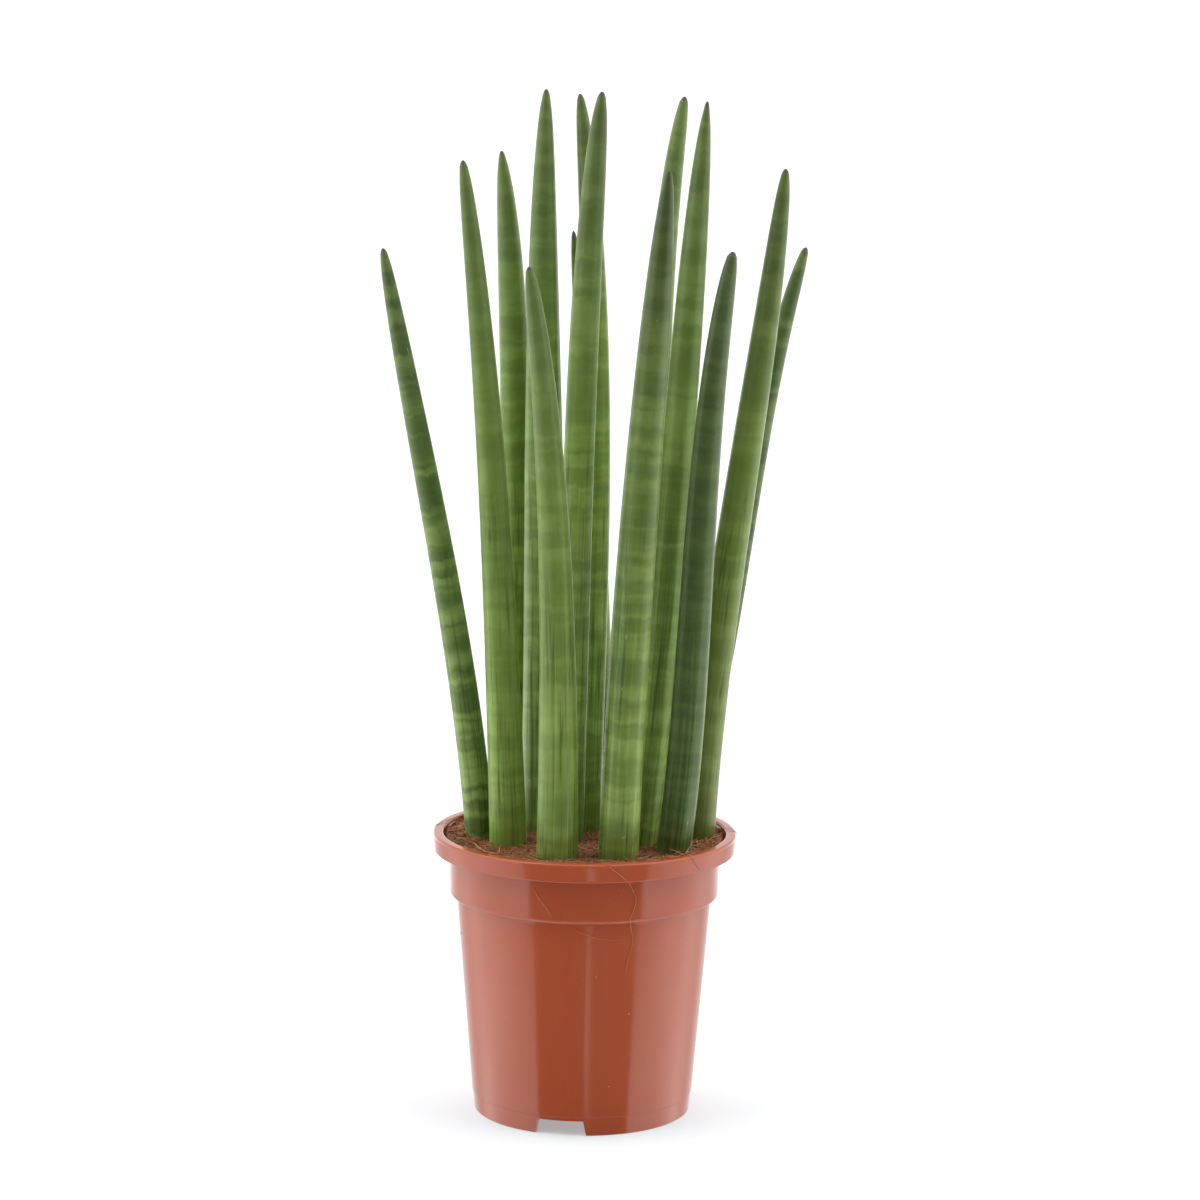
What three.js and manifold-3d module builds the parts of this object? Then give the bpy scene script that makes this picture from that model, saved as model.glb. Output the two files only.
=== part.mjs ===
// Potted snake plant: fourteen round spear leaves standing in coir potting mix, in a plastic
// nursery pot. Millimetres, +Z up, the pot's foot on z = 0, the front of the plant towards -Y.
import * as THREE from "three";
import { mergeVertices } from "three/addons/utils/BufferGeometryUtils.js";
import Module from "manifold-3d";

const wasm = await Module();
wasm.setup();

// ---------------------------------------------------------------- driving dimensions

const POT_HEIGHT = 159;
const LIP_RADIUS = 85; // outside of the rolled lip, a 170 mm pot
const LIP_WIDTH = 6; // flat top of the lip, from its outside to the mouth
const LIP_DEPTH = 10.5; // height of the skirt that hangs from the lip
const SKIRT_DRAFT = 0.8; // how far the skirt leans in to its lower edge
const COLLAR_RADIUS = 75.4; // outside, at its lower edge
const COLLAR_FLARE = 0.6; // how much wider the collar is under the lip
const LEDGE_HEIGHT = 123; // where the tapered wall meets the collar
const WALL_TOP_RADIUS = 71.4; // outside, under the ledge
const FOOT_RADIUS = 61.1;
const FOOT_STEP = 0.4; // the foot band is this much slimmer than the wall above it
const FOOT_BAND = 10.8; // height of the foot band
const FOOT_THICKNESS = 2.4;
const WALL = 1.6;
const EDGE_ROUND = 1.4; // rounding of the lip's edges and of the collar's lower edge
const MOUTH_DEPTH = 0.45; // where the mouth starts to narrow, as a share of the lip's depth
const FLOOR_TOP = 11;
const FLOOR_THICKNESS = 2;
const POT_SEGMENTS = 56;

const NOTCH_COUNT = 3; // drainage notches through the foot ring
const NOTCH_FIRST_DEG = -101; // the one beside the front, seen from above
const NOTCH_TOP = 26;
const NOTCH_BOTTOM = 30;
const NOTCH_HEIGHT = 8.5;
const CUT_MARGIN = 2; // how far a cutter runs past what it cuts
const DRAIN_COUNT = 8; // holes in the floor
const DRAIN_RADIUS = 4.5;
const DRAIN_CIRCLE = 44;
const DRAIN_SIDES = 12;

const MIX_HEIGHT = 153; // level of the mix in the middle, where the lumps are left out
const MIX_BANK = 2; // how much higher it stands towards the pot's wall
const MIX_LUMP = 1.1; // height of the lumps in its top
const SWELL_SHARE = 0.7; // height of the long swells, as a share of the lumps'
const LUMP_SIZE = 3.4; // a lump is about six times this across
const MIX_RINGS = 7; // rings of points across its top
const SEAT_GAP = 0.3; // between two pieces that rest against each other

const LEAF_SIDES = 16;
const LEAF_STEPS = 15; // from the mix to the tip
const LEAF_BURIED = 24; // length of leaf below the surface
const LEAF_BUTT = 3; // length over which the buried end rounds off
const BUTT_SHARE = 0.7; // radius of the buried end, as a share of the leaf's
const RIB_COUNT = 8;
const RIB_DEPTH = 0.06; // furrows between the ribs, as a share of the leaf's radius
const TIP_CROWDING = 1.7; // steps lie closer together towards the tip
const TANGENT_STEP = 0.01; // share of a leaf's length over which its direction is taken

// Each leaf: where it leaves the mix, where its tip is, its radius there, how full it stays
// before it tapers, how sharp its point is, and its sideways bow and S-bend.
const LEAVES = [
  { root: [-58.6, 5], tip: [-114.5, 8, 483], radius: 8.2, full: 1.6, sharp: 0.33, bow: 4.2, bend: 3 },
  { root: [-42.6, -10], tip: [-70.1, -16, 533], radius: 10.5, full: 0.95, sharp: 0.33, bow: 4.5, bend: -1 },
  { root: [-36.7, 51], tip: [-51.2, 63, 534], radius: 9.3, full: 4.9, sharp: 0.5, bow: 3, bend: -3.8 },
  { root: [-23.5, 31], tip: [-26.1, 44, 569.4], radius: 13, full: 1.5, sharp: 0.42, bow: -0.6, bend: 2.3 },
  { root: [-14.9, -46], tip: [-32.8, -66, 480], radius: 11.4, full: 1, sharp: 0.34, bow: 6.5, bend: -1.6 },
  { root: [-0.4, 28], tip: [-7.4, 44, 567], radius: 9.2, full: 2.6, sharp: 0.38, bow: 7.2, bend: -3.6 },
  { root: [-9.3, 0], tip: [4.9, 2, 570], radius: 8.6, full: 5, sharp: 0.4, bow: -3.5, bend: 2.3 },
  { root: [9, 60], tip: [-10.5, 72, 489], radius: 7.5, full: 2, sharp: 0.42, bow: 4, bend: 0 },
  { root: [18.6, -46], tip: [40.9, -68, 532], radius: 11.1, full: 2.6, sharp: 0.46, bow: -2.2, bend: -0.6 },
  { root: [29.8, 30], tip: [50.8, 48, 566], radius: 10.3, full: 1.4, sharp: 0.32, bow: -4.5, bend: 7.5 },
  { root: [31.7, -4], tip: [61.9, -10, 566], radius: 9.3, full: 4.4, sharp: 0.56, bow: 1, bend: 1.6 },
  { root: [49.3, -27], tip: [76.3, -38, 487], radius: 9.8, full: 1.6, sharp: 0.3, bow: -2.2, bend: 5.4 },
  { root: [63.2, 6], tip: [106, 10, 529], radius: 9.7, full: 2.1, sharp: 0.37, bow: -2.1, bend: -4.2 },
  { root: [53.5, 34], tip: [120.5, 62, 482], radius: 7.4, full: 2.4, sharp: 0.32, bow: -0.7, bend: 8 },
];

// ---------------------------------------------------------------- finishes

const terracottaPlastic = new THREE.MeshStandardMaterial({ color: 0xb0553a, roughness: 0.3 });
const coirMix = new THREE.MeshStandardMaterial({ color: 0x7a4a30, roughness: 1 });
const leafGreen = new THREE.MeshStandardMaterial({ color: 0x5f8038, roughness: 0.5 });

// ---------------------------------------------------------------- solids and booleans

const radians = THREE.MathUtils.degToRad;

function solidFrom(geometry) {
  const bare = geometry.clone();
  bare.deleteAttribute("normal");
  bare.deleteAttribute("uv");
  const merged = mergeVertices(bare, 1e-4);
  return new wasm.Manifold(
    new wasm.Mesh({
      numProp: 3,
      vertProperties: merged.attributes.position.array,
      triVerts: new Uint32Array(merged.index.array),
    }),
  );
}

function geometryFrom(solid) {
  const mesh = solid.getMesh();
  const geometry = new THREE.BufferGeometry();
  geometry.setAttribute("position", new THREE.BufferAttribute(mesh.vertProperties, 3));
  geometry.setIndex(new THREE.BufferAttribute(mesh.triVerts, 1));
  geometry.computeVertexNormals();
  return geometry;
}

function namedMesh(name, geometry, material) {
  const mesh = new THREE.Mesh(geometry, material);
  mesh.name = name;
  return mesh;
}

// A profile of [radius, height] points turned round the Z axis.
function turned(profile, segments) {
  const points = profile.map(([radius, height]) => new THREE.Vector2(radius, height));
  return new THREE.LatheGeometry(points, segments).rotateX(Math.PI / 2);
}

// Points on a quarter-round or other arc of a profile, between two angles in degrees.
function arc(centreRadius, centreHeight, radius, fromDeg, toDeg, steps = 2) {
  return Array.from({ length: steps + 1 }, (_, i) => {
    const angle = radians(THREE.MathUtils.lerp(fromDeg, toDeg, i / steps));
    return [centreRadius + radius * Math.cos(angle), centreHeight + radius * Math.sin(angle)];
  });
}

// ---------------------------------------------------------------- pot

const wallRadius = (height) =>
  THREE.MathUtils.lerp(FOOT_RADIUS, WALL_TOP_RADIUS, height / LEDGE_HEIGHT);
const mouthRadius = LIP_RADIUS - LIP_WIDTH;
const skirtBottom = POT_HEIGHT - LIP_DEPTH;
const collarTopRadius = COLLAR_RADIUS + COLLAR_FLARE;

// The inside of the pot from its mouth down to the floor, which the mix follows too.
function innerWall(inset) {
  return [
    [mouthRadius - EDGE_ROUND - inset, POT_HEIGHT - LIP_DEPTH * MOUTH_DEPTH],
    [collarTopRadius - WALL - inset, skirtBottom + EDGE_ROUND],
    [COLLAR_RADIUS - WALL - inset, LEDGE_HEIGHT + 2 * WALL + inset],
    [COLLAR_RADIUS - 2 * WALL - inset, LEDGE_HEIGHT + WALL + inset],
    [WALL_TOP_RADIUS - WALL - inset, LEDGE_HEIGHT + inset / 2],
    [wallRadius(FLOOR_TOP + WALL) - WALL - inset, FLOOR_TOP + WALL + inset],
    [wallRadius(FLOOR_TOP) - 2 * WALL - inset, FLOOR_TOP + inset],
  ];
}

function potProfile() {
  const footOut = FOOT_RADIUS - FOOT_STEP;
  const skirtOut = LIP_RADIUS - SKIRT_DRAFT;
  return [
    [0, FLOOR_TOP - FLOOR_THICKNESS],
    [footOut - FOOT_THICKNESS, FLOOR_TOP - FLOOR_THICKNESS],
    [footOut - FOOT_THICKNESS, 0],
    [footOut, 0],
    [wallRadius(FOOT_BAND) - FOOT_STEP, FOOT_BAND - FOOT_STEP],
    [wallRadius(FOOT_BAND), FOOT_BAND],
    [WALL_TOP_RADIUS, LEDGE_HEIGHT - EDGE_ROUND / 2],
    [WALL_TOP_RADIUS + EDGE_ROUND / 2, LEDGE_HEIGHT],
    ...arc(COLLAR_RADIUS - EDGE_ROUND, LEDGE_HEIGHT + EDGE_ROUND, EDGE_ROUND, -90, 0),
    [collarTopRadius, skirtBottom],
    [collarTopRadius + WALL, POT_HEIGHT - 3 * WALL],
    [mouthRadius + WALL, POT_HEIGHT - WALL],
    [LIP_RADIUS - 2 * WALL, POT_HEIGHT - WALL],
    [skirtOut - WALL, POT_HEIGHT - 2 * WALL],
    [skirtOut - WALL, skirtBottom],
    [skirtOut, skirtBottom],
    ...arc(LIP_RADIUS - EDGE_ROUND, POT_HEIGHT - EDGE_ROUND, EDGE_ROUND, 0, 90),
    ...arc(mouthRadius + EDGE_ROUND, POT_HEIGHT - EDGE_ROUND, EDGE_ROUND, 90, 180),
    ...innerWall(0),
    [0, FLOOR_TOP],
  ];
}

// One notch: a trapezoid pushed radially through the foot ring.
function notchCutter(angleDeg) {
  const sagitta = FOOT_RADIUS - Math.sqrt(FOOT_RADIUS ** 2 - (NOTCH_BOTTOM / 2) ** 2);
  const reach = 2 * (FOOT_THICKNESS + sagitta + CUT_MARGIN);
  const slope = (NOTCH_BOTTOM - NOTCH_TOP) / 2 / NOTCH_HEIGHT;
  const lowHalf = NOTCH_BOTTOM / 2 + slope * CUT_MARGIN;
  const shape = new THREE.Shape([
    new THREE.Vector2(-NOTCH_TOP / 2, NOTCH_HEIGHT),
    new THREE.Vector2(-lowHalf, -CUT_MARGIN),
    new THREE.Vector2(lowHalf, -CUT_MARGIN),
    new THREE.Vector2(NOTCH_TOP / 2, NOTCH_HEIGHT),
  ]);
  const cutter = new THREE.ExtrudeGeometry(shape, { depth: reach, bevelEnabled: false });
  return cutter
    .rotateX(Math.PI / 2)
    .translate(0, -FOOT_RADIUS + reach / 2, 0)
    .rotateZ(radians(angleDeg + 90));
}

function drainCutter(angleDeg) {
  const length = FLOOR_THICKNESS + 2 * CUT_MARGIN;
  return new THREE.CylinderGeometry(DRAIN_RADIUS, DRAIN_RADIUS, length, DRAIN_SIDES)
    .rotateX(Math.PI / 2)
    .translate(DRAIN_CIRCLE, 0, FLOOR_TOP - FLOOR_THICKNESS / 2)
    .rotateZ(radians(angleDeg));
}

function makePot() {
  let pot = solidFrom(turned(potProfile(), POT_SEGMENTS));
  for (let i = 0; i < NOTCH_COUNT; i++)
    pot = pot.subtract(solidFrom(notchCutter(NOTCH_FIRST_DEG + (360 * i) / NOTCH_COUNT)));
  for (let i = 0; i < DRAIN_COUNT; i++)
    pot = pot.subtract(solidFrom(drainCutter((360 * i) / DRAIN_COUNT)));
  return namedMesh("pot", geometryFrom(pot), terracottaPlastic);
}

// ---------------------------------------------------------------- leaves

// A point on a leaf's centre line: t is 0 where it leaves the mix and 1 at its tip, and below
// the mix the leaf runs on straight.
function centreLine(leaf, t) {
  const along = Math.max(t, 0);
  const start = new THREE.Vector3(...leaf.root, MIX_HEIGHT);
  const point = start.clone().lerp(new THREE.Vector3(...leaf.tip), t);
  point.x += 4 * along * (1 - along) * (leaf.bow + leaf.bend * (1 - 2 * along));
  if (t < 0) point.x += 4 * t * (leaf.bow + leaf.bend);
  return point;
}

// A leaf keeps its girth over its lower part and runs out to a point.
function leafRadius(leaf, t) {
  return leaf.radius * (1 - Math.max(t, 0) ** leaf.full) ** leaf.sharp;
}

// The leaf as a body of revolution, bent along its centre line. Shallow furrows run up it and
// fade out towards the tip. extra widens it, for the hole that it stands in.
function leafGeometry(leaf, extra = 0) {
  const height = leaf.tip[2] - MIX_HEIGHT;
  const buriedT = -(LEAF_BURIED + extra) / height;
  const profile = [
    [0, buriedT],
    [leaf.radius * BUTT_SHARE + extra, buriedT],
    [leaf.radius + extra, buriedT + LEAF_BUTT / height],
  ];
  for (let i = 0; i < LEAF_STEPS; i++) {
    const t = 1 - (1 - i / LEAF_STEPS) ** TIP_CROWDING;
    profile.push([leafRadius(leaf, t) + extra, t]);
  }
  profile.push([0, 1]);

  const geometry = turned(profile, LEAF_SIDES);
  const position = geometry.attributes.position;
  const up = new THREE.Vector3(0, 0, 1);
  for (let i = 0; i < position.count; i++) {
    const [x, y, t] = [position.getX(i), position.getY(i), position.getZ(i)];
    const furrow = (1 - Math.cos(RIB_COUNT * Math.atan2(y, x))) / 2;
    const depth = RIB_DEPTH * furrow * (1 - Math.max(t, 0));
    const offset = new THREE.Vector3(x, y, 0).multiplyScalar(1 - depth);
    const behind = centreLine(leaf, t - TANGENT_STEP);
    const ahead = centreLine(leaf, t + TANGENT_STEP).sub(behind).normalize();
    const tilt = new THREE.Quaternion().setFromUnitVectors(up, ahead);
    const point = centreLine(leaf, t).add(offset.applyQuaternion(tilt));
    position.setXYZ(i, point.x, point.y, point.z);
  }
  return geometry;
}

function makeLeaf(leaf, index) {
  const name = "leaf_" + String(index + 1).padStart(2, "0");
  return namedMesh(name, leafGeometry(leaf), leafGreen);
}

// ---------------------------------------------------------------- potting mix

// Lumps in the top of the mix: small crossed waves that wander, on two long swells.
function lumps(x, y) {
  const [u, v] = [x / LUMP_SIZE, y / LUMP_SIZE];
  const small = Math.sin(u + Math.sin(v / 2)) * Math.cos(v - Math.sin(u / 3));
  const swell = Math.sin((u + v) / 2 + 2) + Math.cos((u - 2 * v) / 3);
  return MIX_LUMP * (small + SWELL_SHARE * swell);
}

function mixProfile() {
  const inner = innerWall(SEAT_GAP);
  const edge = [collarTopRadius - WALL - SEAT_GAP, MIX_HEIGHT + MIX_BANK - 2 * MIX_LUMP];
  const wall = inner.slice(2).reverse();
  const top = Array.from({ length: MIX_RINGS }, (_, i) => {
    const across = 1 - (i + 0.5) / MIX_RINGS;
    return [edge[0] * across, MIX_HEIGHT + MIX_BANK * across * across];
  });
  return [[0, FLOOR_TOP + SEAT_GAP], ...wall, edge, ...top, [0, MIX_HEIGHT]];
}

function makeMix() {
  const geometry = turned(mixProfile(), POT_SEGMENTS);
  const position = geometry.attributes.position;
  for (let i = 0; i < position.count; i++) {
    const [x, y, z] = [position.getX(i), position.getY(i), position.getZ(i)];
    if (z >= MIX_HEIGHT) position.setZ(i, z + lumps(x, y));
  }
  let mix = solidFrom(geometry);
  for (const leaf of LEAVES) mix = mix.subtract(solidFrom(leafGeometry(leaf, SEAT_GAP)));
  return namedMesh("potting_mix", geometryFrom(mix), coirMix);
}

// ---------------------------------------------------------------- assembly

const plant = new THREE.Group();
plant.add(makePot(), makeMix(), ...LEAVES.map(makeLeaf));

// The origin is the middle of the plant's box, on the surface that the pot stands on.
const middle = new THREE.Box3().setFromObject(plant).getCenter(new THREE.Vector3());
plant.position.set(-middle.x, -middle.y, 0);

const pottedSnakePlant = new THREE.Group();
pottedSnakePlant.add(plant);

export default pottedSnakePlant;
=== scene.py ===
"""A potted snake plant: fourteen spear leaves standing in coir mix, in a moulded plastic pot.

Every length is in metres, in the plant's own frame: +Z up, -Y towards the front, and the
surface that the pot stands on at height 0. Each leaf takes its line and girths from the CAD
solid of its name, and the pot takes its axis, height and lip from its own.
"""

from __future__ import annotations

import logging
import math
from dataclasses import dataclass
from enum import Enum
from typing import Any, Sequence, Union

import bmesh
import bpy
from mathutils import Matrix, Vector, noise

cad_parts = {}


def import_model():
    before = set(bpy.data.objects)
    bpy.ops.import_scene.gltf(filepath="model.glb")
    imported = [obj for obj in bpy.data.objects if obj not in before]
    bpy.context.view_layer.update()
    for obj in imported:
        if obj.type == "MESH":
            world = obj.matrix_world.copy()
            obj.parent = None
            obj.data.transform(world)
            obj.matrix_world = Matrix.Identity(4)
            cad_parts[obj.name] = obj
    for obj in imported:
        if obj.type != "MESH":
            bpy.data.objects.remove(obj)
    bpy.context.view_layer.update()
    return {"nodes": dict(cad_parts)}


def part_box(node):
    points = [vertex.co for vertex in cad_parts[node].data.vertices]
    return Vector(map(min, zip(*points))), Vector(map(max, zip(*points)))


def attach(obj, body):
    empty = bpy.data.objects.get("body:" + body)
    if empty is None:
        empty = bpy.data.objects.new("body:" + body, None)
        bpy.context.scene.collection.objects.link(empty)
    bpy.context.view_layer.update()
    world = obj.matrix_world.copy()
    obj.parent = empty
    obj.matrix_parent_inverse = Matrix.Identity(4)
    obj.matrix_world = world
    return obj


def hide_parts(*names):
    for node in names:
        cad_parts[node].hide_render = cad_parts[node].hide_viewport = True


LOG = logging.getLogger("snake_plant")
MM = 0.001
TURN = 2 * math.pi
ROOT = "root"
MIX_SURFACE = 153 * MM  # the height of the mix where the leaves leave it

Colour = tuple[float, float, float]
Grain = tuple[float, float, float]  # how many lumps of noise there are to a metre, on each axis
Outline = list[tuple[float, float]]  # a profile: the radius and the height of each point
Route = tuple[tuple[float, float, float], ...]  # degrees round the pot, then radius and height in mm
Value = Union["Wire", float, int, Sequence[float], bpy.types.ID, str, bool]


# ------------------------------------------------------------------------- node graphs


class Wire:
    """One output socket of a node. An operator on it adds the Math node that works it out."""

    def __init__(self, graph: Graph, socket: bpy.types.NodeSocket) -> None:
        """Keeps the graph, so that an operator can add nodes to it, and the socket."""
        self.graph = graph
        self.socket = socket

    def _maths(self, operation: str, *values: Value, clamp: bool = False) -> Wire:
        """Adds one Math node on these values, whose result clamp keeps from 0 to 1."""
        settings = {"operation": operation, "use_clamp": clamp}
        return self.graph.node("ShaderNodeMath", settings, dict(enumerate(values))).out

    def __add__(self, other: Value) -> Wire:
        """self + other."""
        return self._maths("ADD", self, other)

    __radd__ = __add__

    def __sub__(self, other: Value) -> Wire:
        """self - other."""
        return self._maths("SUBTRACT", self, other)

    def __rsub__(self, other: Value) -> Wire:
        """other - self."""
        return self._maths("SUBTRACT", other, self)

    def __neg__(self) -> Wire:
        """0 - self."""
        return 0.0 - self

    def __mul__(self, other: Value) -> Wire:
        """self * other."""
        return self._maths("MULTIPLY", self, other)

    __rmul__ = __mul__

    def __truediv__(self, other: Value) -> Wire:
        """self / other."""
        return self._maths("DIVIDE", self, other)

    def __rtruediv__(self, other: Value) -> Wire:
        """other / self."""
        return self._maths("DIVIDE", other, self)

    def __pow__(self, other: Value) -> Wire:
        """self to the power other."""
        return self._maths("POWER", self, other)

    def __rpow__(self, other: Value) -> Wire:
        """other to the power self."""
        return self._maths("POWER", other, self)

    def cosine(self) -> Wire:
        """The cosine of the angle in radians."""
        return self._maths("COSINE", self)

    def angle(self, along: Value) -> Wire:
        """The angle in radians of a slope that rises by self over a length of along."""
        return self._maths("ARCTAN2", self, along)

    def clamped(self) -> Wire:
        """The value kept from 0 to 1."""
        return self._maths("ADD", self, 0.0, clamp=True)

    def least(self, other: Value) -> Wire:
        """The smaller of the two."""
        return self._maths("MINIMUM", self, other)

    def most(self, other: Value) -> Wire:
        """The larger of the two."""
        return self._maths("MAXIMUM", self, other)

    def between(self, low: Value, high: Value, start: Value = 0.0, end: Value = 1.0) -> Wire:
        """A smooth step.

        Args:
            low: The value where the step starts.
            high: The value where it ends.
            start: The result at low and below.
            end: The result at high and above.

        Returns:
            The stepped value.
        """
        settings = {"interpolation_type": "SMOOTHSTEP"}
        values = {"Value": self, "From Min": low, "From Max": high, "To Min": start, "To Max": end}
        return self.graph.node("ShaderNodeMapRange", settings, values).out

    def peak(self, middle: float, half_width: float) -> Wire:
        """1 at middle, and smoothly down to 0 half_width away from it on both sides."""
        return self._maths("ABSOLUTE", self - middle).between(0.0, half_width, 1.0, 0.0)

    def parts(self) -> tuple[Wire, Wire, Wire]:
        """The x, y and z of a vector."""
        split = self.graph.node("ShaderNodeSeparateXYZ", {}, {0: self})
        return split["X"], split["Y"], split["Z"]

    def scaled(self, factors: Sequence[float]) -> Wire:
        """A vector times one factor for each axis."""
        return self.graph.node("ShaderNodeVectorMath", {"operation": "MULTIPLY"}, {0: self, 1: factors}).out

    def stretched(self, length: Value) -> Wire:
        """A vector times a number."""
        return self.graph.node("ShaderNodeVectorMath", {"operation": "SCALE"}, {0: self, "Scale": length}).out

    def moved(self, offset: Value) -> Wire:
        """A vector plus another."""
        return self.graph.node("ShaderNodeVectorMath", {"operation": "ADD"}, {0: self, 1: offset}).out


class Made:
    """A node that was made, whose outputs are read by name."""

    def __init__(self, graph: Graph, node: bpy.types.Node) -> None:
        """Keeps the node and its graph."""
        self.graph = graph
        self.node = node

    def __getitem__(self, name: str) -> Wire:
        """The output of that name."""
        return Wire(self.graph, Graph.pick(self.node.outputs, name))

    @property
    def out(self) -> Wire:
        """The first output in use."""
        return Wire(self.graph, next(s for s in self.node.outputs if s.enabled))


class Graph:
    """A node tree under construction, of a material, of the world or of Geometry Nodes."""

    def __init__(self, tree: bpy.types.NodeTree) -> None:
        """Keeps the tree that nodes are added to."""
        self.tree = tree

    @staticmethod
    def pick(sockets: Any, key: Union[str, int]) -> bpy.types.NodeSocket:
        """The socket in use with that name, or with that place in the list."""
        if isinstance(key, int):
            return sockets[key]
        return next(s for s in sockets if s.enabled and s.name == key)

    def node(self, kind: str, settings: dict[str, Any], values: dict[Union[str, int], Value]) -> Made:
        """Adds any node.

        Args:
            kind: The node's type, such as ShaderNodeTexNoise.
            settings: The node's own settings, set first. "stops" fills a ramp with
                (position, colour) pairs.
            values: A value or a wire for each input that is named.

        Returns:
            The node, whose outputs can be read by name.
        """
        made = self.tree.nodes.new(kind)
        for name, value in settings.items():
            if name == "stops":
                self._fill_ramp(made.color_ramp, value)
            else:
                setattr(made, name, value)
        for key, value in values.items():
            socket = self.pick(made.inputs, key)
            if isinstance(value, Wire):
                self.tree.links.new(value.socket, socket)
            elif socket.type == "RGBA" and not isinstance(value, (int, float)):
                socket.default_value = (*value, 1.0)[:4]
            else:
                socket.default_value = value
        return Made(self, made)

    @staticmethod
    def _fill_ramp(ramp: bpy.types.ColorRamp, stops: Sequence[tuple[float, Colour]]) -> None:
        """Gives a colour ramp its stops.

        Args:
            ramp: The ramp.
            stops: The position and the colour of each stop.
        """
        while len(ramp.elements) < len(stops):
            ramp.elements.new(1.0)
        for element, (position, colour) in zip(ramp.elements, stops):
            element.position = position
            element.color = (*colour, 1.0)

    def ramp(self, share: Wire, *stops: tuple[float, Colour]) -> Wire:
        """The colour at a share from 0 to 1 between stops, each a position and a colour."""
        return self.node("ShaderNodeValToRGB", {"stops": stops}, {"Fac": share}).out

    def mixed(self, share: Value, under: Value, over: Value, blend: str = "MIX") -> Wire:
        """One colour with a share of another over it, from 0 to 1, by a Mix node's blend type."""
        settings = {"data_type": "RGBA", "blend_type": blend}
        return self.node("ShaderNodeMix", settings, {"Factor": share, "A": under, "B": over}).out

    def speckle(
        self, place: Wire, scale: Union[float, Grain], detail: float = 2.0, rough: float = 0.5
    ) -> Wire:
        """Noise from 0 to 1 at a place.

        Args:
            place: The point, as a vector.
            scale: How many lumps there are to one unit of place, or to one on each axis.
            detail: How many finer octaves are added.
            rough: How strong those are.

        Returns:
            The noise.
        """
        if isinstance(scale, tuple):
            place, scale = place.scaled(scale), 1.0
        values = {"Vector": place, "Scale": scale, "Detail": detail, "Roughness": rough}
        return self.node("ShaderNodeTexNoise", {"noise_dimensions": "3D"}, values)["Fac"]

    def bump(self, strength: float, distance: float, height: Wire) -> Wire:
        """The surface's direction, tilted by a height."""
        values = {"Strength": strength, "Distance": distance, "Height": height}
        return self.node("ShaderNodeBump", {}, values).out

    def vector(self, x: Value, y: Value, z: Value) -> Wire:
        """A vector from its three parts."""
        return self.node("ShaderNodeCombineXYZ", {}, {"X": x, "Y": y, "Z": z}).out

    def attribute(self, name: str) -> Made:
        """A named attribute of the piece, in a material."""
        return self.node("ShaderNodeAttribute", {"attribute_type": "GEOMETRY", "attribute_name": name}, {})

    def object_place(self) -> Wire:
        """The point in Object coordinates, in a material."""
        return self.node("ShaderNodeTexCoord", {}, {})["Object"]


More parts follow.
